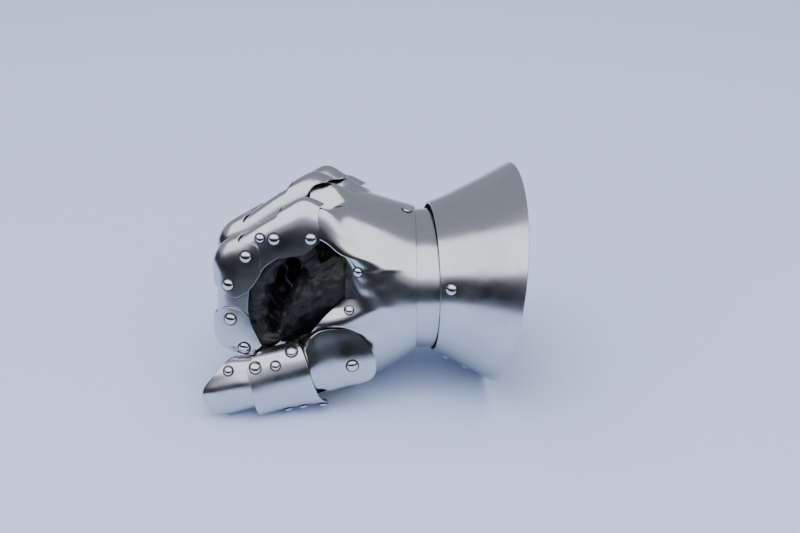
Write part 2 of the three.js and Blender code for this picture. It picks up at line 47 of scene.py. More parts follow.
mm = 0.001
sheetThickness = 1.4
lift = 2.0  # height of an upper plate over the one that it laps
roll = math.radians(11)
wristHeight = 75


# ---- numbers and places, all in millimetres until a mesh is finished

def mix(a, b, t):
    return a + (b - a) * t


def ease(t):
    c = min(max(t, 0), 1)
    return c * c * (3 - 2 * c)


def bump(place, middle, reach):
    return math.exp(-(((place - middle) / reach) ** 2))


def signed(value, side):
    return value if side >= 0 else -value


# value of a list of (place, value) pairs, on a smooth curve through them
def along(pairs, place):
    last = len(pairs) - 1
    if place <= pairs[0][0]:
        return pairs[0][1]
    if place >= pairs[last][0]:
        return pairs[last][1]
    i = next(k for k, pair in enumerate(pairs) if pair[0] > place)

    def slope(k):
        (p0, v0), (p1, v1) = pairs[max(k - 1, 0)], pairs[min(k + 1, last)]
        return (v1 - v0) / (p1 - p0)

    (p0, v0), (p1, v1) = pairs[i - 1], pairs[i]
    span = p1 - p0
    t = (place - p0) / span
    a, b, rise = slope(i - 1) * span, slope(i) * span, v1 - v0
    return v0 + t * (a + t * (3 * rise - 2 * a - b + t * (a + b - 2 * rise)))


def inHand(x, across, up):
    return Vector((
        x,
        across * math.cos(roll) + up * math.sin(roll),
        wristHeight - across * math.sin(roll) + up * math.cos(roll),
    ))


# ---- materials

def linear(hexColour):
    parts = [int(hexColour[i:i + 2], 16) / 255 for i in (1, 3, 5)]
    return [c / 12.92 if c <= 0.04045 else ((c + 0.055) / 1.055) ** 2.4 for c in parts] + [1]


# adds a node with its settings, its input values and its links
def node(tree, kind, settings=None, values=None, links=None):
    made = tree.nodes.new(kind)
    for name, value in (settings or {}).items():
        setattr(made, name, value)
    for name, value in (values or {}).items():
        made.inputs[name].default_value = value
    for name, source in (links or {}).items():
        tree.links.new(source, made.inputs[name])
    return made


def newMaterial(name):
    material = bpy.data.materials.new(name)
    material.use_nodes = True
    tree = material.node_tree
    shader = tree.nodes["Principled BSDF"]
    place = node(tree, "ShaderNodeTexCoord").outputs["Object"]
    return material, tree, shader, place


# sheet steel, planished, then buffed: bright, a little uneven, with pin pits where the buff missed
def polishedSteel(name, values):
    material, tree, shader, place = newMaterial(name)
    shader.inputs["Metallic"].default_value = 1
    smear = node(tree, "ShaderNodeTexNoise", None,
                 {"Scale": 1 / (values["smearSize"] * mm), "Detail": 5, "Roughness": 0.6},
                 {"Vector": place})
    rough = node(tree, "ShaderNodeMapRange", None,
                 {"From Min": 0.3, "From Max": 0.72, "To Min": values["roughness"][0],
                  "To Max": values["roughness"][1]}, {"Value": smear.outputs["Fac"]})
    pitCells = node(tree, "ShaderNodeTexVoronoi", {"feature": "F1"},
                    {"Scale": 1 / (values["pitSpacing"] * mm), "Randomness": 1}, {"Vector": place})
    pitField = node(tree, "ShaderNodeTexNoise", None,
                    {"Scale": 1 / (values["pitPatch"] * mm), "Detail": 2}, {"Vector": place})
    pitSize = node(tree, "ShaderNodeMapRange", None,
                   {"From Min": 0.5, "From Max": 0.75, "To Min": 0, "To Max": values["pitSize"]},
                   {"Value": pitField.outputs["Fac"]})
    pit = node(tree, "ShaderNodeMath", {"operation": "LESS_THAN"}, None,
               {0: pitCells.outputs["Distance"], 1: pitSize.outputs["Result"]})
    tint = node(tree, "ShaderNodeMix", {"data_type": "RGBA"}, None, {"Factor": smear.outputs["Fac"]})
    tint.inputs["A"].default_value = linear(values["colour"])
    tint.inputs["B"].default_value = linear(values["colourWorn"])
    pitted = node(tree, "ShaderNodeMix", {"data_type": "RGBA"}, None,
                  {"Factor": pit.outputs[0], "A": tint.outputs["Result"]})
    pitted.inputs["B"].default_value = linear(values["pitColour"])
    tree.links.new(pitted.outputs["Result"], shader.inputs["Base Color"])
    roughPitted = node(tree, "ShaderNodeMath", {"operation": "MULTIPLY_ADD"}, {1: 0.4},
                       {0: pit.outputs[0], 2: rough.outputs["Result"]})
    tree.links.new(roughPitted.outputs[0], shader.inputs["Roughness"])
    hammer = node(tree, "ShaderNodeTexNoise", None,
                  {"Scale": 1 / (values["hammerSize"] * mm), "Detail": 1.5, "Roughness": 0.4},
                  {"Vector": place})
    waves = node(tree, "ShaderNodeBump", None,
                 {"Strength": values["hammerStrength"], "Distance": values["hammerDepth"] * mm},
                 {"Height": hammer.outputs["Fac"]})
    buff = node(tree, "ShaderNodeTexNoise", None,
                {"Scale": 1 / (values["buffGrain"] * mm), "Detail": 3, "Roughness": 0.7},
                {"Vector": place})
    grain = node(tree, "ShaderNodeBump", None,
                 {"Strength": values["buffStrength"], "Distance": 0.02 * mm},
                 {"Height": buff.outputs["Fac"], "Normal": waves.outputs["Normal"]})
    tree.links.new(grain.outputs["Normal"], shader.inputs["Normal"])
    return material


# calf leather, drum dyed black: soft sheen on the grain, duller in the folds
def blackLeather(values):
    material, tree, shader, place = newMaterial("blackCalfLeather")
    shader.inputs["IOR"].default_value = 1.5
    shader.inputs["Sheen Weight"].default_value = values["sheen"]
    shader.inputs["Sheen Roughness"].default_value = 0.5
    wear = node(tree, "ShaderNodeTexNoise", None,
                {"Scale": 1 / (values["wearSize"] * mm), "Detail": 4}, {"Vector": place})
    tint = node(tree, "ShaderNodeMix", {"data_type": "RGBA"}, None, {"Factor": wear.outputs["Fac"]})
    tint.inputs["A"].default_value = linear(values["colour"])
    tint.inputs["B"].default_value = linear(values["colourWorn"])
    tree.links.new(tint.outputs["Result"], shader.inputs["Base Color"])
    rough = node(tree, "ShaderNodeMapRange", None,
                 {"To Min": values["roughness"][0], "To Max": values["roughness"][1]},
                 {"Value": wear.outputs["Fac"]})
    tree.links.new(rough.outputs["Result"], shader.inputs["Roughness"])
    pebble = node(tree, "ShaderNodeTexVoronoi", {"feature": "DISTANCE_TO_EDGE"},
                  {"Scale": 1 / (values["grain"] * mm)}, {"Vector": place})
    crease = node(tree, "ShaderNodeTexNoise", None,
                  {"Scale": 1 / (values["creaseSize"] * mm), "Detail": 4, "Roughness": 0.6},
                  {"Vector": place})
    soft = node(tree, "ShaderNodeBump", None, {"Strength": 0.7, "Distance": 0.9 * mm},
                {"Height": crease.outputs["Fac"]})
    fine = node(tree, "ShaderNodeBump", None, {"Strength": 0.35, "Distance": 0.12 * mm},
                {"Height": pebble.outputs["Distance"], "Normal": soft.outputs["Normal"]})
    tree.links.new(fine.outputs["Normal"], shader.inputs["Normal"])
    return material


steelLook = {
    "colour": "#cfd1d6", "colourWorn": "#bfc1c7", "roughness": (0.15, 0.27), "smearSize": 22,
    "pitSpacing": 7, "pitPatch": 30, "pitSize": 0.075, "pitColour": "#5d5650",
    "hammerSize": 18, "hammerDepth": 0.4, "hammerStrength": 0.22, "buffGrain": 0.7, "buffStrength": 0.08,
}
rivetLook = dict(steelLook, colour="#dcdde0", colourWorn="#cfd0d4", roughness=(0.1, 0.18), pitSize=0.02,
                 hammerSize=4, hammerDepth=0.2)
# the inside of the plates is painted dark: painted shade, so the gaps under the plate edges read as shadow
shadedInnerLook = dict(steelLook, colour="#2b2b2e", colourWorn="#1c1c1f", roughness=(0.42, 0.6), pitSize=0.1)
leatherLook = {
    "colour": "#070709", "colourWorn": "#0e0e11", "roughness": (0.36, 0.58), "sheen": 0.02,
    "wearSize": 14, "grain": 0.9, "creaseSize": 5,
}
steel = polishedSteel("buffedSheetSteel", steelLook)
rivetSteel = polishedSteel("buffedRivetSteel", rivetLook)
shadedInnerSteel = polishedSteel("paintedShadeInnerSteel", shadedInnerLook)
leather = blackLeather(leatherLook)
# near-black ring under each rivet head: painted contact shade
rivetShadeRing, rivetShadeTree, rivetShadeShader, rivetShadePlace = newMaterial("paintedRivetContactShade")
rivetShadeShader.inputs["Base Color"].default_value = linear("#15151a")
rivetShadeShader.inputs["Roughness"].default_value = 0.55
print("materials made")


# ---- shaping

origin = Vector((0, 0, 0))  # set from the frame once the lame is known


def toRow(point):
    return (point + origin) * mm


def finish(bm, name, body, cadNodes, materials):
    mesh = bpy.data.meshes.new(name)
    for face in bm.faces:
        face.smooth = True
    bm.to_mesh(mesh)
    bm.free()
    made = bpy.data.objects.new(name, mesh)
    bpy.context.scene.collection.objects.link(made)
    for material in materials:
        mesh.materials.append(material)
    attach(made, body)
    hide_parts(*cadNodes)
    return made


# way out of a skin(row, col)
def outward(skin, row, col):
    d = 0.002
    alongRow = skin(row + d, col) - skin(row - d, col)
    alongCol = skin(row, col + d) - skin(row, col - d)
    return alongCol.cross(alongRow).normalized()


# hand-hammered unevenness, always a little under the true skin
def dents(point, depth, size):
    return -depth * (0.5 + 0.5 * noise.noise(point / size))


# plate of sheet bent to a skin over the unit square, or to a ring when it wraps
def bentPlate(name, skin, body, rows, cols, wraps=False, depth=0.16, size=15):
    bm = bmesh.new()
    bmesh.ops.create_grid(bm, x_segments=cols, y_segments=rows, size=1)
    for vert in bm.verts:
        col, row = (vert.co.x + 1) / 2, (vert.co.y + 1) / 2
        point = skin(row, col)
        vert.co = point + outward(skin, row, col) * dents(point, depth, size)
    for vert in bm.verts:
        vert.co = toRow(vert.co)
    if wraps:
        bmesh.ops.remove_doubles(bm, verts=bm.verts, dist=0.02 * mm)
    bm.faces.ensure_lookup_table()
    bm.normal_update()
    sample = bm.faces[(rows // 2) * cols + cols // 2]
    if sample.normal.dot(outward(skin, 0.5, 0.5)) < 0:
        bmesh.ops.reverse_faces(bm, faces=bm.faces)
    made = finish(bm, name + "Visual", body, [name], [steel, shadedInnerSteel])
    wall = made.modifiers.new("sheet", "SOLIDIFY")
    wall.thickness = sheetThickness * mm
    wall.offset = -1
    wall.use_even_offset = True
    # the inner faces take the dark steel, which is painted shade
    wall.material_offset = 1
    edge = made.modifiers.new("filedEdge", "BEVEL")
    edge.width = 0.42 * mm
    edge.segments = 2
    edge.limit_method = "ANGLE"
    edge.angle_limit = math.radians(50)
    edge.harden_normals = True
    return made


rivetShape = {"large": 4.0, "small": 3.2, "rise": 0.52, "shadeRingWider": 0.8, "shadeRingHigh": 0.3}


# domed head on a thin dark ring, which is painted contact shade around the head
def rivet(name, skin, row, col, body="hand", size="large"):
    head = rivetShape[size]
    rise = head * rivetShape["rise"]
    axis = outward(skin, row, col)
    bm = bmesh.new()
    bmesh.ops.create_uvsphere(bm, u_segments=36, v_segments=24, radius=1)
    cut = bmesh.ops.bisect_plane(bm, geom=bm.verts[:] + bm.edges[:] + bm.faces[:], dist=1e-5,
                                 plane_co=(0, 0, 0), plane_no=(0, 0, 1), clear_inner=True)
    rim = [item for item in cut["geom_cut"] if isinstance(item, bmesh.types.BMEdge)]
    bmesh.ops.contextual_create(bm, geom=rim)
    bmesh.ops.scale(bm, verts=bm.verts, vec=(head, head, rise))
    bmesh.ops.translate(bm, verts=bm.verts, vec=(0, 0, rivetShape["shadeRingHigh"]))
    ring = bmesh.ops.create_cone(bm, cap_ends=True, segments=36, radius1=head + rivetShape["shadeRingWider"],
                                 radius2=head + 0.1, depth=rivetShape["shadeRingHigh"])
    bmesh.ops.translate(bm, verts=ring["verts"], vec=(0, 0, rivetShape["shadeRingHigh"] / 2 - 0.03))
    # the ring takes the near-black material, which is painted contact shade
    for vert in ring["verts"]:
        for face in vert.link_faces:
            face.material_index = 1
    turn = Vector((0, 0, 1)).rotation_difference(axis).to_matrix().to_4x4()
    bmesh.ops.transform(bm, matrix=turn, verts=bm.verts)
    at = skin(row, col)
    for vert in bm.verts:
        vert.co = toRow(vert.co + at)
    bmesh.ops.recalc_face_normals(bm, faces=bm.faces)
    parts = name.split("_")
    title = "".join([parts[0]] + [part.capitalize() for part in parts[1:]])
    return finish(bm, title, body, [name], [rivetSteel, rivetShadeRing])


# ---- cuff and wrist

cuff = {
    "neck": {"x": 46.5, "z": 76, "across": 54.6, "high": 54, "lean": 0.03, "yaw": 6},
    "rim": {"x": 97.2, "z": 79.5, "across": 79.5, "high": 79.5, "lean": 0.15, "yaw": 6.2},
    "flare": 1.12,
}
lame = {"front": 28.5, "back": 61, "across": 51.6, "high": 50.4, "barrel": 2.2}


def ring(size, turn):
    angle = turn * 2 * math.pi
    y = -size["across"] * math.sin(angle)
    up = size["high"] * math.cos(angle)
    return Vector((size["x"] + size["lean"] * up - math.tan(math.radians(size["yaw"])) * y, y, size["z"] + up))


def cuffSkin(row, col):
    neck, rim = ring(cuff["neck"], col), ring(cuff["rim"], col)
    opened = signed(abs(row) ** cuff["flare"], row)
    return Vector((mix(neck.x, rim.x, row), mix(neck.y, rim.y, opened), mix(neck.z, rim.z, opened)))


def lameSkin(row, col):
    angle = col * 2 * math.pi
    slim = lame["barrel"] * (2 * row - 1) ** 2
    return inHand(mix(lame["front"], lame["back"], row),
                  -(lame["across"] - slim * 0.4) * math.sin(angle), (lame["high"] - slim) * math.cos(angle))


origin.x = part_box("wrist_lame")[0].x / mm - lame["front"]
origin.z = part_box("hand_plate")[0].z / mm

bentPlate("cuff", cuffSkin, "cuff", 56, 288, wraps=True, depth=0.14, size=24)
bentPlate("wrist_lame", lameSkin, "hand", 24, 240, wraps=True, depth=0.1, size=20)
rivet("rivet_cuff_pivot_thumb_side", cuffSkin, 0.13, 0.195, "cuff")
rivet("rivet_cuff_pivot_far_side", cuffSkin, 0.13, 0.75, "cuff")
rivet("rivet_cuff_seam_front", cuffSkin, 0.28, 0.45, "cuff", "small")
rivet("rivet_cuff_seam_rear", cuffSkin, 0.62, 0.45, "cuff", "small")
print("cuff and wrist lame made")


# ---- hand plate

hand = {
    "back": 36,
    "across": [(-44, 46.4), (-20, 46.8), (0, 47.8), (18, 51.4), (36, 54.2)],
    "top": [(-44, 79), (-33, 76.5), (-20, 71), (0, 63.4), (23, 56.6), (36, 52.8)],
    "bottom": [(-44, 84), (-8, 79), (8, 71), (26, 60), (36, 53.4)],
    "front": [
        (-180, -4), (-150, -12), (-120, -16), (-60, -13), (-31, -13), (-22, -18), (-9, -27), (9, -36),
        (30, -41), (45, -41), (56, -35.5), (60, -28), (66, -20), (74, -13.5), (80, -12), (88, -12.7),
        (96, -18.6), (109, -32), (117, -38), (132, -39), (146, -30), (160, -14), (180, -4),
    ],
    "knuckles": [(-38, 64.2), (-25.5, 60), (-12.7, 75), (0, 62.8), (12.7, 71.5), (25.5, 51.2), (38, 58.6)],
    "knuckleFade": (10, 31),
    # flute between the index and middle knuckles, running back from the front edge
    "flute": {"across": -24.5, "reach": 3.4, "deep": 3.2, "length": 38, "fade": 24},
    "dish": {"from": 45, "to": 112, "soft": 14, "deep": 3.4, "rim": 1.3, "smoothOver": 9},
}


def frontEdge(degrees):
    return along(hand["front"], degrees)


def handPoint(x, degrees):
    angle = math.radians(degrees)
    s, c = math.sin(angle), math.cos(angle)
    half = along(hand["across"], x)
    tall = along(hand["top"] if c > 0 else hand["bottom"], x)
    fore = ease((hand["back"] - x) / 60)
    if c > 0:
        square = mix(2, 2.9, fore)
    else:
        square = mix(2, 2.1 if s > 0 else 3, ease((hand["back"] - x) / 40))
    reach = ((abs(s) / half) ** square + (abs(c) / tall) ** square) ** (-1 / square)
    reach += 4.5 * bump(degrees, 124, 26) * ease((26 - x) / 44)
    dish = hand["dish"]
    opened = ease((degrees - dish["from"]) / dish["soft"]) * ease((dish["to"] - degrees) / dish["soft"])
    reachOut = dish["smoothOver"]
    slope = (frontEdge(degrees + reachOut) - frontEdge(degrees - reachOut)) / (2 * reachOut * 0.9)
    gap = (x - frontEdge(degrees)) / math.sqrt(1 + slope * slope)
    reach -= opened * dish["deep"] * (1 - ease(gap / 15))
    reach += opened * dish["rim"] * bump(gap, 19, 6)
    up, across = reach * c, -reach * s
    near, far = hand["knuckleFade"]
    fade = ease((far - (x - frontEdge(degrees))) / (far - near))
    side = 1 - ease((abs(across) - 38) / 9)
    if c > 0:
        up += fade * side * (along(hand["knuckles"], across) - up)
        flute = hand["flute"]
        run = flute["length"] - (x - frontEdge(degrees))
        up -= flute["deep"] * bump(across, flute["across"], flute["reach"]) * ease(run / flute["fade"])
    point = inHand(x, across, up)
    point.z = max(point.z, 0)
    return point


def handSkin(row, degrees):
    return handPoint(mix(frontEdge(degrees), hand["back"], row), degrees)


# the columns crowd together over the knuckles and the thumb opening
handTurns = [(0, -45), (0.42, 45), (0.76, 143), (1, 315)]


def handSheet(row, col):
    places = [turn[0] for turn in handTurns]
    i = max(k for k in range(3) if col >= places[k] or k == 0)
    (p0, d0), (p1, d1) = handTurns[i], handTurns[i + 1]
    degrees = mix(d0, d1, (col - p0) / (p1 - p0))
    if degrees > 180:
        degrees -= 360
    elif degrees < -180:
        degrees += 360
    return handSkin(row, degrees)


bentPlate("hand_plate", handSheet, "hand", 110, 420, wraps=True, depth=0.1, size=20)
rivet("rivet_wrist_top", handSkin, 0.92, 10, size="small")
rivet("rivet_wrist_bottom", handSkin, 0.9, 180, size="small")
rivet("rivet_opening_upper", handSkin, 0.22, 70, size="small")
rivet("rivet_opening_lower", handSkin, 0.19, 99.5, size="small")
print("hand plate made")


# ---- fingers

finger = {
    "back": [
        (-28, 64.5), (-41, 67), (-54, 62.5), (-68, 55.5), (-82, 46.5), (-95, 38), (-102, 27),
        (-103, 14), (-103.2, 2), (-103.8, -10), (-105, -21), (-103, -31.5), (-95, -38.5), (-84, -42),
    ],
    "edge": [
        (-30, 37), (-45, 33), (-58, 31), (-63, 28.5), (-69, 24), (-73, 18), (-76.5, 12.5),
        (-80, 8), (-81, 2), (-81.5, -8), (-79, -18), (-75.5, -26.5), (-73, -32), (-70, -36),
    ],
    "half": 9.5,
    "square": 2.4,
    "pivot": (-80.5, 5),
}
fingers = {
    "index": {"across": -38, "knuckle": (0, 0), "joint": (0, 0), "curl": 0, "open": -1, "sink": 0},
    "middle": {"across": -12.7, "knuckle": (6.5, 11.5), "joint": (1.2, 6), "curl": 6, "open": 0, "sink": 0},
    "ring": {"across": 12.7, "knuckle": (16, 10.3), "joint": (8, 4), "curl": 18, "open": 0, "sink": 4},
    "little": {"across": 38, "knuckle": (29, -4), "joint": (20, -6), "curl": 34, "open": 1, "sink": 1.6},
}


# uniform Catmull-Rom curve through a list of (x, height)
def onCurve(points, station):
    last = len(points) - 1
    t = min(max(station, 0), last)
    i = min(int(t), last - 1)
    f = t - i

    def at(k):
        if k < 0:
            return tuple(2 * a - b for a, b in zip(points[0], points[1]))
        if k > last:
            return tuple(2 * a - b for a, b in zip(points[last], points[last - 1]))
        return points[k]

    p0, p1, p2, p3 = at(i - 1), at(i), at(i + 1), at(i + 2)
    return [
        0.5 * (2 * b + (c - a) * f + (2 * a - 5 * b + 4 * c - d) * f * f + (3 * b - a - 3 * c + d) * f ** 3)
        for a, b, c, d in zip(p0, p1, p2, p3)
    ]


# x and height of a finger's back or edge line at a station
def lineAt(line, one, station):
    x, up = onCurve(finger[line], station)
    curl = math.radians(one["curl"]) * ease((station - 6.5) / 3)
    dx, dz = x - finger["pivot"][0], up - finger["pivot"][1]
    x = finger["pivot"][0] + dx * math.cos(curl) - dz * math.sin(curl)
    up = finger["pivot"][1] + dx * math.sin(curl) + dz * math.cos(curl)
    bend = ease((station - 2) / 3)
    x += mix(one["knuckle"][0], one["joint"][0], bend)
    up += mix(one["knuckle"][1], one["joint"][1], bend) - one["sink"] * (1 - ease(station / 1.6))
    return Vector((x, up))


def fingerSkin(one, shape):
    def skin(station, turn):
        back, edge = lineAt("back", one, station), lineAt("edge", one, station)
        side = 1 if turn > 0 else -1 if turn < 0 else 0
        if shape.get("saddle") and side != one["open"]:
            shallow = back + Vector((-2, -9))
            edge = shallow.lerp(edge, ease((station - 0.9) / 1.3))
        down = edge - back
        depth = down.length
        down.normalize()
        crest = along(shape["crest"], station) * bump(turn, 0, 0.34) if "crest" in shape else 0
        high = shape["lift"] + crest
        angle = min(abs(turn), 1) * math.pi / 2
        drop = 1 - max(math.cos(angle), 0) ** (2 / finger["square"])
        wide = (finger["half"] + shape["lift"]) * math.sin(angle) ** (2 / finger["square"])
        place = back + down * (drop * (depth + high) - high)
        return inHand(place.x, one["across"] + side * wide, place.y)
    return skin


# outlines as (share of the way from ridge to edge, station)
plateShapes = {
    "knuckle_plate": {
        "lift": lift, "saddle": True, "crest": [(0, 0.6), (1.2, 2.8), (2.4, 1)],
        "rearFree": [(0, 0), (0.45, 0.25), (0.8, 0.05), (0.93, 0.12), (1, 0.5)],
        "rear": [(0, 0), (0.4, 0.45), (0.75, 1.25), (1, 1.6)],
        "front": [(0, 2), (0.3, 2.45), (0.55, 2.95), (0.85, 2.8), (1, 2.35)],
    },
    "joint_plate": {
        "lift": lift, "crest": [(4, 0.2), (5.6, 1.7), (7.4, 0.3)],
        "rear": [(0, 4), (0.34, 4.4), (0.66, 3.75), (0.9, 3.95), (1, 4.35)],
        "front": [(0, 7.3), (0.45, 7.45), (0.8, 7.95), (1, 7.5)],
    },
    "tip_plate": {
        "lift": lift,
        "rear": [(0, 9.25), (0.25, 9), (0.6, 8.6), (0.9, 8.8), (1, 9.2)],
        "front": [(0, 12.9), (0.7, 12.9), (1, 12.4)],
    },
    "first_lame": {"lift": 0, "rear": [(0, 1.6), (1, 1.9)], "front": [(0, 5.4), (1, 5.2)]},
    "second_lame": {"lift": 0, "rear": [(0, 6.3), (1, 6.4)], "front": [(0, 10.2), (1, 10)]},
}
corner = {"from": 0.8, "size": 0.22}  # where an outline starts to round off, and by how much of a station


def rounding(share):
    t = min(max((share - corner["from"]) / (1 - corner["from"]), 0), 1)
    return corner["size"] * (1 - math.sqrt(1 - t * t))


def fingerOutline(one, shape):
    skin = fingerSkin(one, shape)

    def sheet(row, col):
        turn = 2 * col - 1
        share = min(abs(turn), 1)
        side = 1 if turn > 0 else -1 if turn < 0 else 0
        rearList = shape["rearFree"] if side == one["open"] and "rearFree" in shape else shape["rear"]
        start = along(rearList, share) + rounding(share)
        end = along(shape["front"], share) - rounding(share)
        return skin(mix(start, end, row), turn)
    return sheet


for title, one in fingers.items():
    for plateName, shape in plateShapes.items():
        bentPlate(f"{title}_{plateName}", fingerOutline(one, shape), "hand", 44, 64, depth=0.12, size=11)
    if one["open"]:
        turn = one["open"]
        knuckle = fingerSkin(one, plateShapes["knuckle_plate"])
        joint = fingerSkin(one, plateShapes["joint_plate"])
        tip = fingerSkin(one, plateShapes["tip_plate"])
        rivet(f"rivet_{title}_knuckle_rear", knuckle, 0.5, turn * 0.85)
        rivet(f"rivet_{title}_knuckle_front", knuckle, 2.62, turn * 0.72)
        rivet(f"rivet_{title}_joint_rear", joint, 4.6, turn * 0.7)
        rivet(f"rivet_{title}_joint_front", joint, 7, turn * 0.64)
        rivet(f"rivet_{title}_tip_rear", tip, 9.4, turn * 0.7)
        rivet(f"rivet_{title}_tip_front", tip, 11.9, turn * 0.73)
rivet("rivet_index_first_lame", fingerSkin(fingers["index"], plateShapes["first_lame"]), 3.45, -0.53,
      size="small")
print("finger plates made")


# ---- thumb

thumb = {
    "root": Vector((6.5, -59, 43.6)),
    "way": Vector((-0.979, -0.136, -0.155)).normalized(),
    "face": Vector((0.099, -0.969, 0.225)).normalized(),
    "square": 2.6,
}
thumb["up"] = thumb["way"].cross(thumb["face"]).normalized()
thumbShapes = {
    "thumb_base_plate": {
        "rise": [(0, -2), (20, -0.6), (40, -1.5), (60, -3)],
        "half": [(0, 22), (22, 23.6), (34, 24.6), (42, 22.7), (50, 20.7), (60, 20.4)],
        "shift": [(0, 1), (22, 3), (34, 2.6), (42, 0.8), (50, -3), (60, -3.6)],
        "wallUp": [(0, 1.5), (41, 2.5), (52, 17), (60, 20)],
        "wallLow": [(0, 9), (20, 13), (60, 18)],
        "crest": 1,
        "rear": [(0, -0.4), (0.35, 5), (0.6, 11), (0.8, 17), (1, 26)],
        "rearLow": [(0, -0.4), (0.35, 1.5), (0.6, 7), (0.85, 18), (1, 28)],
        "front": [(0, 57), (1, 57)],
    },
    "thumb_middle_plate": {
        "rise": [(40, 2.6), (50, 0.9), (66, 0.2), (80, 0.8), (90, 2.4)],
        "half": [(40, 25.8), (50, 24.8), (66, 24.2), (80, 24.4), (90, 24.4)],
        "shift": [(40, -4.2), (90, -4.2)],
        "wallUp": [(40, 18), (58, 15), (90, 13)],
        "wallLow": [(40, 20), (90, 20)],
        "crest": 1.2,
        "rear": [(0, 46.6), (0.4, 48), (1, 51)],
        "rearLow": [(0, 46.6), (0.4, 43.6), (0.7, 39), (1, 38.5)],
        "front": [(0, 89), (0.4, 88.4), (0.6, 85), (0.75, 81), (1, 77)],
        "frontLow": [(0, 89), (0.45, 88.4), (0.7, 85.5), (0.85, 79), (1, 76)],
    },
    "thumb_tip_plate": {
        "rise": [(76, -2.6), (90, -2.2), (104, -3), (116, -5.5), (126, -9.5)],
        "half": [(76, 19.8), (90, 20.4), (98, 21), (110, 20), (118, 18.6), (126, 16.6)],
        "shift": [(76, -3.6), (90, -2.6), (98, -2), (110, -3), (126, -4.5)],
        "wallUp": [(76, 11.6), (100, 12), (126, 9)],
        "wallLow": [(76, 18), (100, 17), (126, 10)],
        "crest": 2,
        "rear": [(0, 77), (1, 77)],
        "front": [(0, 124.4), (0.2, 121), (0.6, 107), (1, 98)],
        "frontLow": [(0, 124.4), (0.3, 121.5), (0.6, 118.5), (1, 109)],
    },
}


def inThumb(run, up, out):
    return thumb["root"] + thumb["way"] * run + thumb["up"] * up + thumb["face"] * out


def thumbSkin(shape):
    def skin(run, turn):
        angle = min(abs(turn), 1) * math.pi / 2
        side = 1 if turn > 0 else -1 if turn < 0 else 0
        drop = 1 - max(math.cos(angle), 0) ** (2 / thumb["square"])
        wide = along(shape["half"], run) * math.sin(angle) ** (2 / thumb["square"])
        crest = shape["crest"] * bump(turn, 0, 0.2)
        wall = along(shape["wallUp"] if turn > 0 else shape["wallLow"], run)
        out = along(shape["rise"], run) + crest - drop * (wall + crest)
        return inThumb(run, along(shape["shift"], run) + side * wide, out)
    return skin


def thumbOutline(shape):
    skin = thumbSkin(shape)

    def sheet(row, col):
        turn = 2 * col - 1
        share = min(abs(turn), 1)
        low = "Low" if turn < 0 else ""
        rear = along(shape.get("rear" + low, shape["rear"]), share)
        front = along(shape.get("front" + low, shape["front"]), share)
        return skin(mix(rear + rounding(share) * 9, front - rounding(share) * 9, row), turn)
    return sheet


for name, shape in thumbShapes.items():
    bentPlate(name, thumbOutline(shape), "hand", 60, 96, depth=0.16, size=14)
baseSkin, middleSkin, tipSkin = (thumbSkin(shape) for shape in thumbShapes.values())
rivet("rivet_thumb_root", baseSkin, 16.4, -0.085)
rivet("rivet_thumb_upper_rear", middleSkin, 56, 0.587)
rivet("rivet_thumb_upper_middle", middleSkin, 69, 0.32, size="small")
rivet("rivet_thumb_upper_front", middleSkin, 83, 0.378)
rivet("rivet_thumb_lower_front", middleSkin, 67, -0.8, size="small")
rivet("rivet_thumb_lower_middle", middleSkin, 56, -0.78, size="small")
rivet("rivet_thumb_lower_rear", middleSkin, 42, -0.8, size="small")
rivet("rivet_thumb_tip", tipSkin, 102, 0.42, size="small")
print("thumb plates made")


# ---- glove

glove = {
    "mouth": 54,
    "thickness": 1.3,
    # palm rings from the front back: x, distance across, height, half depth, half width, slant;
    # the last stands past the mouth and is cut away
    "palm": [
        (-48, -6, -28, 10, 20, 0.5), (-45, -5, -26, 20, 31, 0.5), (-37, 0, -15, 31, 37, 0.44),
        (-28, 0, -4, 34, 39, 0.33), (-20, 0, 1, 39, 40, 0.2), (-8, 0, 3, 43, 40.5, 0.08),
        (8, 0, 2, 45, 41.5, 0), (24, 0, 0, 43, 42, 0), (34, 0, 0, 43, 43, 0), (62, 0, 0, 43, 43, 0),
    ],
    # finger rings: station, half depth, half width, distance ahead
    "finger": [
        (1.4, 15, 7, 0), (2.6, 18.5, 7.4, 0), (4.2, 19, 7.4, 0), (5.6, 17.5, 7.4, 0), (7, 16.5, 7.4, 0),
        (8.6, 16.5, 7.4, 0), (10, 16, 7.4, 0), (11.2, 15, 7.4, 0), (12.8, 14, 7, 0), (12.9, 13, 6, 3),
        (12.9, 8, 4, 5),
    ],
    "fingerDepth": 4.2,
    "fingerRoot": {"x": 17, "across": 0.66, "up": -24},
    # thumb rings: run, up, out, half depth, half width
    "thumb": [
        (-6, 6, -42, 13, 15), (20, 7, -38, 14, 17), (42, 2, -31, 13, 15.5), (60, -2.6, -20, 12.5, 15.5),
        (84, -1.6, -17.5, 12, 15.5), (99, -3.6, -17, 11, 14), (106, -4.6, -17, 7, 9),
    ],
    "voxel": 1.5,
    "foldDepth": 3.2,
    "foldSwell": 0.42,  # share of a fold that stands out where no plate is near
    "foldSize": 13,
}


# closed tube through rings, each a centre, two half axes and their lengths
def addLimb(bm, rings):
    loops = []
    for centre, back, side, deep, wide in rings:
        made = bmesh.ops.create_circle(bm, cap_ends=False, segments=28, radius=1)["verts"]
        for vert in made:
            x, y = vert.co.x, vert.co.y
            vert.co = centre + back * (deep * y) + side * (wide * x)
        loops.append(made)
    for first, second in zip(loops, loops[1:]):
        edges = [e for loop in (first, second) for v in loop for e in v.link_edges
                 if e.other_vert(v) in loop]
        bmesh.ops.bridge_loops(bm, edges=list(dict.fromkeys(edges)))
    for loop in (loops[0], loops[-1]):
        edges = [e for v in loop for e in v.link_edges if e.other_vert(v) in loop]
        bmesh.ops.contextual_create(bm, geom=list(dict.fromkeys(edges)))


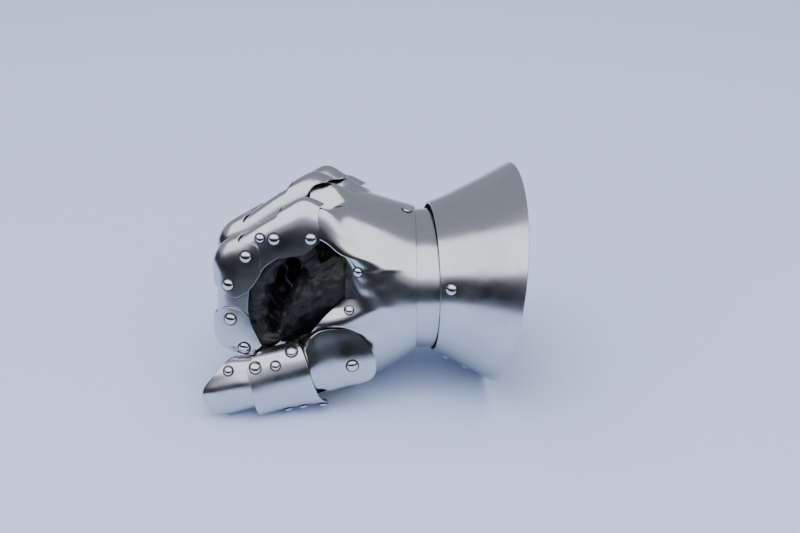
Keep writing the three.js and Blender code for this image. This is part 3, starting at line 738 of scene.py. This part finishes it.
def gloveBody():
    bm = bmesh.new()
    backWay = inHand(0, 0, 1) - inHand(0, 0, 0)
    sideWay = inHand(0, 1, 0) - inHand(0, 0, 0)
    palm = []
    for x, across, up, deep, wide, slant in glove["palm"]:
        centre = inHand(x + slant * across, across, up)
        side = sideWay + Vector((slant, 0, 0))
        palm.append((centre, backWay, side, deep, wide))
    addLimb(bm, palm)
    for one in fingers.values():
        rings = []
        for station, deep, wide, ahead in glove["finger"]:
            back, edge = lineAt("back", one, station), lineAt("edge", one, station)
            top = inHand(back.x, one["across"], back.y)
            up = (top - inHand(edge.x, one["across"], edge.y)).normalized()
            centre = top - up * (glove["fingerDepth"] + deep) + up.cross(sideWay) * ahead
            rings.append((centre, up, sideWay, deep, wide))
        root = glove["fingerRoot"]
        shift = inHand(root["x"], one["across"] * root["across"], root["up"]) - inHand(0, one["across"], 0)
        centre, up, side, deep, wide = rings[0]
        addLimb(bm, [(centre + shift, up, side, deep, wide)] + rings)
    addLimb(bm, [(inThumb(run, up, out), thumb["face"], thumb["up"], deep, wide)
                 for run, up, out, deep, wide in glove["thumb"]])
    bmesh.ops.recalc_face_normals(bm, faces=bm.faces)
    for vert in bm.verts:
        vert.co = toRow(vert.co)
    return bm


def applyModifiers(made):
    graph = bpy.context.evaluated_depsgraph_get()
    mesh = bpy.data.meshes.new_from_object(made.evaluated_get(graph))
    made.modifiers.clear()
    made.data = mesh


def plateTree():
    points, faces = [], []
    for name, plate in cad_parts.items():
        if name != "glove" and not name.startswith("rivet"):
            first = len(points)
            points += [plate.matrix_world @ vert.co for vert in plate.data.vertices]
            faces += [[first + k for k in face.vertices] for face in plate.data.polygons]
    return BVHTree.FromPolygons(points, faces)


def makeGlove():
    made = finish(gloveBody(), "gloveLeather", "hand", ["glove"], [leather])
    skin = made.modifiers.new("oneSkin", "REMESH")
    skin.mode = "VOXEL"
    skin.voxel_size = glove["voxel"] * mm
    applyModifiers(made)
    bm = bmesh.new()
    bm.from_mesh(made.data)
    bmesh.ops.smooth_vert(bm, verts=bm.verts, factor=0.5, use_axis_x=True, use_axis_y=True, use_axis_z=True)
    bm.normal_update()
    # beside a plate the folds only press inwards, so the leather stays clear of it
    plates = plateTree()
    for vert in bm.verts:
        p = vert.co / mm
        warp = noise.noise_vector(p / 19) * 9
        big = abs(noise.noise((p + warp) / glove["foldSize"]))
        small = abs(noise.noise((p - warp) / (glove["foldSize"] * 0.42)))
        soft = 0.5 + 0.5 * noise.noise(p / 23 + Vector((7, 3, 1)))
        press = min(big * 2.2, 1) * 0.7 + min(small * 2, 1) * 0.18 + soft * 0.12
        room = (plates.find_nearest(vert.co)[3] / mm - 1) / 3
        swell = glove["foldSwell"] * min(max(room, 0), 1)
        vert.co += vert.normal * (glove["foldDepth"] * (swell - press) * mm)
    mouth = toRow(inHand(glove["mouth"], 0, 0)).x
    bmesh.ops.bisect_plane(bm, geom=bm.verts[:] + bm.edges[:] + bm.faces[:], dist=1e-6,
                           plane_co=(mouth, 0, 0), plane_no=(1, 0, 0), clear_outer=True)
    for face in bm.faces:
        face.smooth = True
    bm.to_mesh(made.data)
    bm.free()
    wall = made.modifiers.new("leatherThickness", "SOLIDIFY")
    wall.thickness = glove["thickness"] * mm
    wall.offset = -1
    return made


makeGlove()
print("glove made")


# ---- stage, light and camera

stage = {
    "floorColour": "#c8d9fb", "farSkyColour": "#a4a9b4", "farSkyStrength": 1.0,
    "horizonColour": "#101513", "horizonRadius": 1.7, "horizonTop": 0.6, "groundFrom": 0.4,
    "softboxPower": 36, "frontSkyPower": 46,
}


def plainMaterial(name, hexColour, roughness):
    material, tree, shader, place = newMaterial(name)
    shader.inputs["Base Color"].default_value = linear(hexColour)
    shader.inputs["Roughness"].default_value = roughness
    return material


def stagePiece(bm, name, material):
    mesh = bpy.data.meshes.new(name)
    bm.to_mesh(mesh)
    bm.free()
    made = bpy.data.objects.new(name, mesh)
    bpy.context.scene.collection.objects.link(made)
    mesh.materials.append(material)
    return made


bm = bmesh.new()
bmesh.ops.create_grid(bm, x_segments=1, y_segments=1, size=6)
floor = stagePiece(bm, "floor", plainMaterial("paleFloorPaint", stage["floorColour"], 0.7))

# dark surroundings in front, that only the polished metal sees: a wall and the ground before it
def darkPiece(bm, name):
    made = stagePiece(bm, name, plainMaterial(name + "Cloth", stage["horizonColour"], 0.9))
    made.visible_camera = False
    made.visible_diffuse = False
    made.visible_shadow = False


bm = bmesh.new()
bmesh.ops.create_cone(bm, cap_ends=False, segments=64, radius1=stage["horizonRadius"],
                      radius2=stage["horizonRadius"], depth=stage["horizonTop"])
bmesh.ops.translate(bm, verts=bm.verts, vec=(0, 0, stage["horizonTop"] / 2 + 0.01))
bmesh.ops.bisect_plane(bm, geom=bm.verts[:] + bm.edges[:] + bm.faces[:], dist=1e-5,
                       plane_co=(0, 0.4, 0), plane_no=(0, 1, 0), clear_outer=True)
darkPiece(bm, "horizonBand")
bm = bmesh.new()
bmesh.ops.create_grid(bm, x_segments=1, y_segments=1, size=1.6)
bmesh.ops.translate(bm, verts=bm.verts, vec=(0, -1.6 - stage["groundFrom"], 0.002))
darkPiece(bm, "darkGround")

world = bpy.data.worlds.new("softStudio")
bpy.context.scene.world = world
world.use_nodes = True
sky = world.node_tree.nodes["Background"]
sky.inputs["Color"].default_value = linear(stage["farSkyColour"])
sky.inputs["Strength"].default_value = stage["farSkyStrength"]


def softLight(name, place, target, size, power, inMetal):
    data = bpy.data.lights.new(name, "AREA")
    data.shape = "RECTANGLE"
    data.size, data.size_y = size
    data.energy = power
    lamp = bpy.data.objects.new(name, data)
    bpy.context.scene.collection.objects.link(lamp)
    lamp.location = place
    way = Vector(target) - Vector(place)
    lamp.rotation_euler = way.to_track_quat("-Z", "Y").to_euler()
    lamp.visible_camera = False
    lamp.visible_glossy = inMetal
    return lamp


softLight("overheadSoftbox", (0, 0.2, 2), (0, 0, 0), (2.4, 2.4), stage["softboxPower"], False)
softLight("frontSky", (-0.1, -1, 1.55), (0, 0, 0.05), (4.6, 1.9), stage["frontSkyPower"], True)

view = {"lens": 70, "azimuth": -1, "elevation": 29, "place": (0.0095, -0.9846, 0.6301)}
lensData = bpy.data.cameras.new("camera")
lensData.lens = view["lens"]
camera = bpy.data.objects.new("camera", lensData)
bpy.context.scene.collection.objects.link(camera)
camera.location = view["place"]
camera.rotation_euler = (math.radians(90 - view["elevation"]), 0, math.radians(view["azimuth"]))
bpy.context.scene.camera = camera
print("stage, light and camera set")
